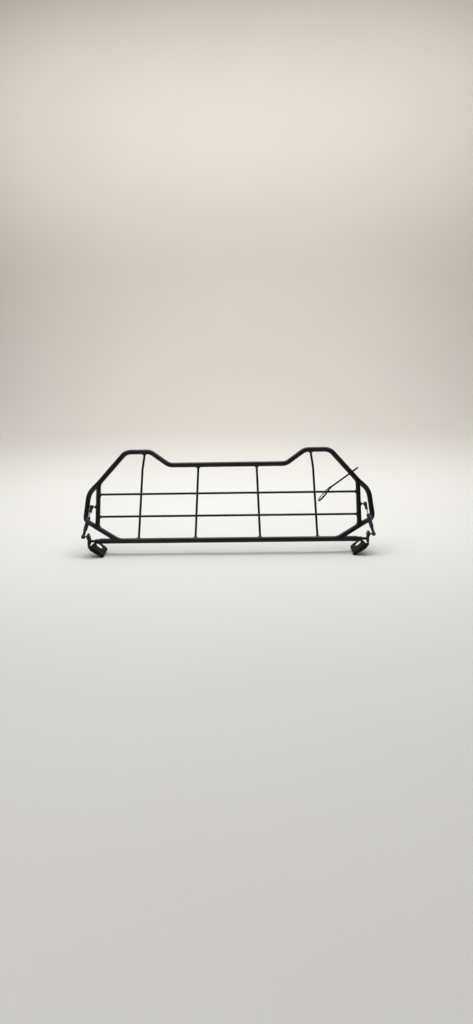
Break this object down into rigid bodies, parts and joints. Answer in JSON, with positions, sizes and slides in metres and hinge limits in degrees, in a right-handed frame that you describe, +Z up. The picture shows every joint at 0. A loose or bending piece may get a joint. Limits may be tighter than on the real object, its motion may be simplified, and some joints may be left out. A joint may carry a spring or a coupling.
{
  "type": "folding cargo guard grille",
  "caption": "Folding steel tube-and-rod cargo guard grille with shouldered outline, on pressed side brackets with short gas springs at both ends.",
  "frame": {"origin": "middle of the hinge axis, between the two brackets", "axes": "+X along the hinge to the viewer's right, +Y to the back, +Z up; the grille leans back 23.5 degrees about X at rest"},
  "size_m": [1.1134, 0.1871, 0.3743],
  "materials": {
    "powder_black": "satin black powder coat on steel",
    "dark_steel": "blackened steel, lightly oiled",
    "zinc_plate": "satin zinc plating, slightly dulled",
    "chromed_rod": "polished hard chrome",
    "cylinder_black": "smooth semi-gloss black paint",
    "nylon_black": "moulded black nylon",
    "seal_rubber": "matt black seal"
  },
  "bodies": {
    "brackets": {"bracket_left": "powder_black", "bracket_right": "powder_black", "hinge_axle": "dark_steel", "axle_cap_left": "zinc_plate", "axle_cap_right": "zinc_plate", "ear_stud_left": "zinc_plate", "ear_stud_right": "zinc_plate", "ear_nut_left": "zinc_plate", "ear_nut_right": "zinc_plate"},
    "grille": {"outer_tube": "powder_black", "hinge_tube": "powder_black", "side_post_left": "powder_black", "side_post_right": "powder_black", "cross_rod_upper": "powder_black", "cross_rod_lower": "powder_black", "outer_upright_left": "powder_black", "outer_upright_right": "powder_black", "inner_upright_left": "powder_black", "inner_upright_right": "powder_black", "post_stud_left": "powder_black", "post_stud_right": "powder_black", "hinge_bush_left": "nylon_black", "hinge_bush_right": "nylon_black", "cable_tie": "nylon_black"},
    "cylinder_left": {"gas_cylinder_left": "cylinder_black", "lower_socket_left": "nylon_black", "lower_clip_left": "dark_steel", "rod_guide_left": "seal_rubber"},
    "rod_left": {"piston_rod_left": "chromed_rod", "piston_left": "nylon_black", "upper_socket_left": "nylon_black", "upper_clip_left": "dark_steel"},
    "cylinder_right": {"gas_cylinder_right": "cylinder_black", "lower_socket_right": "nylon_black", "lower_clip_right": "dark_steel", "rod_guide_right": "seal_rubber"},
    "rod_right": {"piston_rod_right": "chromed_rod", "piston_right": "nylon_black", "upper_socket_right": "nylon_black", "upper_clip_right": "dark_steel"}
  },
  "joints": [
    {"name": "grille_fold", "type": "hinge", "parent": "brackets", "child": "grille", "pos_m": [0, 0, 0], "axis": [1, 0, 0], "range_deg": [0, 85]},
    {"name": "cylinder_pivot_left", "type": "hinge", "parent": "brackets", "child": "cylinder_left", "pos_m": [-0.538, -0.01498, 0.02246], "axis": [1, 0, 0], "range_deg": [0, 103]},
    {"name": "rod_slide_left", "type": "slide", "parent": "cylinder_left", "child": "rod_left", "axis": [0.192, 0.5577, 0.8075], "range_m": [-0.011, 0]},
    {"name": "cylinder_pivot_right", "type": "hinge", "parent": "brackets", "child": "cylinder_right", "pos_m": [0.538, -0.01498, 0.02246], "axis": [1, 0, 0], "range_deg": [0, 103]},
    {"name": "rod_slide_right", "type": "slide", "parent": "cylinder_right", "child": "rod_right", "axis": [-0.192, 0.5577, 0.8075], "range_m": [-0.011, 0]}
  ],
  "couplings": [
    {"joint": "cylinder_pivot_left", "follows": "grille_fold", "ratio": 1.2105},
    {"joint": "rod_slide_left", "follows": "grille_fold", "m_per_rad": -0.007366},
    {"joint": "cylinder_pivot_right", "follows": "grille_fold", "ratio": 1.2105},
    {"joint": "rod_slide_right", "follows": "grille_fold", "m_per_rad": -0.007366}
  ]
}
